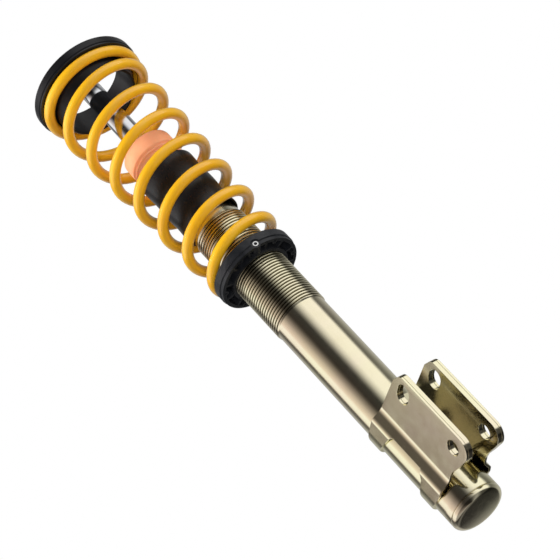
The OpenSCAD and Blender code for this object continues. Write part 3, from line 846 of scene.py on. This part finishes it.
def build_rod():
    """Chromed rod with its threaded stud and a round socket in its top."""
    low_z, high_z = low("piston_rod"), top("piston_rod")
    shoulder = high_z - 42 * MM
    step_z = low("rebound_stop") - 6 * MM
    spigot = 5.5 * MM
    depth = 0.75 * MM
    root = STUD_R - depth
    outline = [(0.01 * MM, low_z), (spigot, low_z), (spigot, step_z), (ROD_R, step_z)]
    outline += [(ROD_R, z) for z in np.linspace(step_z + 1 * MM, shoulder - 1.5 * MM, 20)]
    outline += [(ROD_R - 1.5 * MM, shoulder), (STUD_R, shoulder), (STUD_R, shoulder + 5 * MM)]
    outline += [(root - 0.6 * MM, shoulder + 5.6 * MM), (root - 0.6 * MM, high_z - 1.7 * MM)]
    socket_r, socket_z = 3.5 * MM, high_z - 8 * MM
    outline += [(STUD_R - 1 * MM, high_z - 1.6 * MM), (STUD_R - 1.8 * MM, high_z),
                (socket_r, high_z), (socket_r, socket_z), (0.01 * MM, socket_z)]
    shaft, shaft_faces = turned(outline, 96)
    thread, thread_faces, _ = helical_thread(
        shoulder + 5 * MM, high_z - 1.6 * MM, STUD_R, depth, 1.5 * MM, columns=48, rows_a_turn=8)
    mesh = join_meshes("chromed_rod", [(shaft, shaft_faces), (thread, thread_faces)])
    weld_together(mesh)
    piece = add_piece("chromed_rod", mesh, CHROME, "rod", 50)
    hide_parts("piston_rod")


# ------------------------------------------------------------------ CAD nodes that stay

def dress(material, *nodes):
    """Gives carried-over CAD nodes their material."""
    for node in nodes:
        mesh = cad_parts[node].data
        if mesh.materials:
            for i in range(len(mesh.materials)):
                mesh.materials[i] = material
        else:
            mesh.materials.append(material)


build_body_tube()
build_base_cap()
build_knuckle_bracket()
build_bracket_bridge()
build_welds()
build_spring()
build_upper_perch()
build_bump_stop()
build_boot()
build_rod()

dress(COMPOSITE, "adjuster_nut")
dress(BRIGHT, "lock_insert")
dress(OXIDE, "lock_screw")
dress(STEEL, "pressure_tube", "base_valve", "base_valve_shims", "base_valve_bolt", "rod_guide",
      "gland_nut", "piston", "compression_shims", "rebound_shims", "piston_nut", "rebound_stop")
dress(BRONZE, "guide_bush")
dress(BAND, "piston_band")
dress(RUBBER, "guide_o_ring", "rod_seal", "wiper_ring", "rebound_buffer")


# ------------------------------------------------------------------ camera, floor and light

def build_camera():
    """Looks up at the strut from below its bracket's side, rolled so that the axis runs
    diagonally across the picture."""
    turn, lift = math.radians(56.29), math.radians(-30.49)
    roll = math.radians(47.01)
    distance, side_step = 2.2518, 0.00931
    aim = Vector((0, 0, 0.3056))
    level = math.cos(lift)
    back = Vector((math.sin(turn) * level, -math.cos(turn) * level, math.sin(lift)))
    right = Vector((math.cos(turn), math.sin(turn), 0))
    up = back.cross(right)
    camera = bpy.data.objects.new("camera", bpy.data.cameras.new("camera"))
    bpy.context.scene.collection.objects.link(camera)
    across = right * math.sin(roll) - up * math.cos(roll)
    upward = right * math.cos(roll) + up * math.sin(roll)
    place = aim + back * distance + right * side_step
    turned_to = Matrix((across, upward, back)).transposed().to_4x4()
    camera.matrix_world = Matrix.Translation(place) @ turned_to
    camera.data.lens = 156.75
    camera.data.sensor_width = 36
    camera.data.clip_end = 200
    bpy.context.scene.camera = camera


def build_floor():
    """Pale floor, below the camera because the photo looks up at the strut. It glows a little to
    stay pale from above, and sends no light back to the strut."""
    size, z = 60.0, -1.35
    corners = [(-size, -size, z), (size, -size, z), (size, size, z), (-size, size, z)]
    mesh = mesh_from("floor", corners, [(0, 1, 2, 3)])
    m = Shader("pale_floor", Emission_Strength=0.35)
    m.set("Base Color", m.mix(m.noise(3), (0.86, 0.86, 0.86), (0.90, 0.90, 0.90)))
    m.set("Roughness", m.spread(m.noise(6), 0.75, 0.9))
    finish_mesh(mesh, m.material)
    floor = bpy.data.objects.new("floor", mesh)
    bpy.context.scene.collection.objects.link(floor)
    floor.visible_glossy = False
    floor.visible_diffuse = False


# The studio as the strut reflects it. Brightness round the horizon: two soft boxes, at -125 and
# 30 degrees, which fade out towards the dark opening between them where the camera stands. The
# light that spills from the first one, on both its sides, is pinker than the rest.
WALLS = [
    (-180, 0.42), (-171, 0.26), (-161, 0.15), (-153, 0.07), (-148, 0.15), (-145, 0.46),
    (-141, 0.92), (-121, 1.00), (-111, 0.82), (-101, 0.66), (-92, 0.50), (-84, 0.33),
    (-75, 0.20), (-67, 0.09), (-59, 0.035), (-32, 0.04), (-24, 0.15), (-16, 0.37),
    (-8, 0.62), (0, 0.80), (8, 0.95), (50, 1.00), (55, 0.84), (60, 0.37), (66, 0.14),
    (72, 0.13), (86, 0.22), (104, 0.36), (125, 0.46), (180, 0.42),
]
SPILL = (1.0, 0.88, 0.84)
SPILL_SPANS = ((-149, -144), (-115, -58))


def build_world():
    """White backdrop to the camera. Reflections see the soft boxes, the dark between them, and a
    ground that is darkest towards +Y, where the strut's lower end reflects it."""
    world = bpy.data.worlds.new("studio")
    bpy.context.scene.world = world
    world.use_nodes = True
    tree = world.node_tree
    tree.nodes.clear()
    new = tree.nodes.new
    link = tree.links.new

    def math_node(operation, first, second):
        """Result of a math node whose two inputs are numbers or sockets."""
        node = new("ShaderNodeMath")
        node.operation = operation
        for socket, value in zip(node.inputs, (first, second)):
            if isinstance(value, (int, float)):
                socket.default_value = value
            else:
                link(value, socket)
        return node.outputs[0]

    def fade(value, start, end, low_value, high_value):
        """low_value below start, high_value above end, and a smooth change between them."""
        ranged = new("ShaderNodeMapRange")
        ranged.interpolation_type = "SMOOTHSTEP"
        for name, given in (("Value", value), ("From Min", start), ("From Max", end),
                            ("To Min", low_value), ("To Max", high_value)):
            if isinstance(given, (int, float)):
                ranged.inputs[name].default_value = given
            else:
                link(given, ranged.inputs[name])
        return ranged.outputs["Result"]

    direction = new("ShaderNodeTexCoord").outputs["Generated"]
    split = new("ShaderNodeSeparateXYZ")
    link(direction, split.inputs[0])
    turn = math_node("ARCTAN2", split.outputs["Y"], split.outputs["X"])
    share = math_node("MULTIPLY_ADD", turn, 1 / TAU)
    share.node.inputs[2].default_value = 0.5
    ramp = new("ShaderNodeValToRGB")
    link(share, ramp.inputs["Fac"])
    stops = ramp.color_ramp.elements
    for azimuth, _ in WALLS[1:-1]:
        stops.new(azimuth / 360 + 0.5)
    for stop, (azimuth, value) in zip(stops, WALLS):
        stop.position = azimuth / 360 + 0.5
        tint = SPILL if any(start < azimuth < end for start, end in SPILL_SPANS) else (1, 1, 1)
        stop.color = (*(value * t for t in tint), 1)
    walls = ramp.outputs["Color"]
    ground = fade(split.outputs["Y"], 0.0, 0.4, 0.35, 0.06)
    for edges in ((-0.42, -0.22, ground, 1.0), (0.72, 0.86, 1.0, 0.10)):
        dimmed = new("ShaderNodeVectorMath")
        dimmed.operation = "SCALE"
        link(walls, dimmed.inputs[0])
        link(fade(split.outputs["Z"], *edges), dimmed.inputs["Scale"])
        walls = dimmed.outputs[0]
    seen = new("ShaderNodeMix")
    seen.data_type = "RGBA"
    link(new("ShaderNodeLightPath").outputs["Is Camera Ray"], seen.inputs["Factor"])
    link(walls, seen.inputs[6])
    seen.inputs[7].default_value = (1, 1, 1, 1)
    background = new("ShaderNodeBackground")
    link(seen.outputs[2], background.inputs["Color"])
    link(background.outputs[0], new("ShaderNodeOutputWorld").inputs[0])


def area_light(name, azimuth_deg, elevation_deg, distance, size, watts, colour=(1, 1, 1)):
    """Soft square light that faces the middle of the strut."""
    a, e = math.radians(azimuth_deg), math.radians(elevation_deg)
    aim = Vector((0, 0, 0.33))
    toward = Vector((math.cos(a) * math.cos(e), math.sin(a) * math.cos(e), math.sin(e)))
    data = bpy.data.lights.new(name, "AREA")
    data.shape = "SQUARE"
    data.size = size
    data.energy = watts
    data.color = colour
    light = bpy.data.objects.new(name, data)
    light.location = aim + toward * distance
    light.rotation_euler = toward.to_track_quat("Z", "Y").to_euler()
    bpy.context.scene.collection.objects.link(light)
    light.visible_camera = False
    light.visible_glossy = False


build_camera()
build_floor()
build_world()
area_light("key", -95, 35, 1.8, 0.9, 36)
area_light("fill", 60, 10, 2.0, 1.0, 20)
area_light("rim", 150, 40, 2.0, 0.9, 16)
area_light("under", -35, -35, 2.0, 1.0, 21)

bpy.context.scene.view_settings.view_transform = "Standard"
bpy.context.scene.view_settings.look = "None"
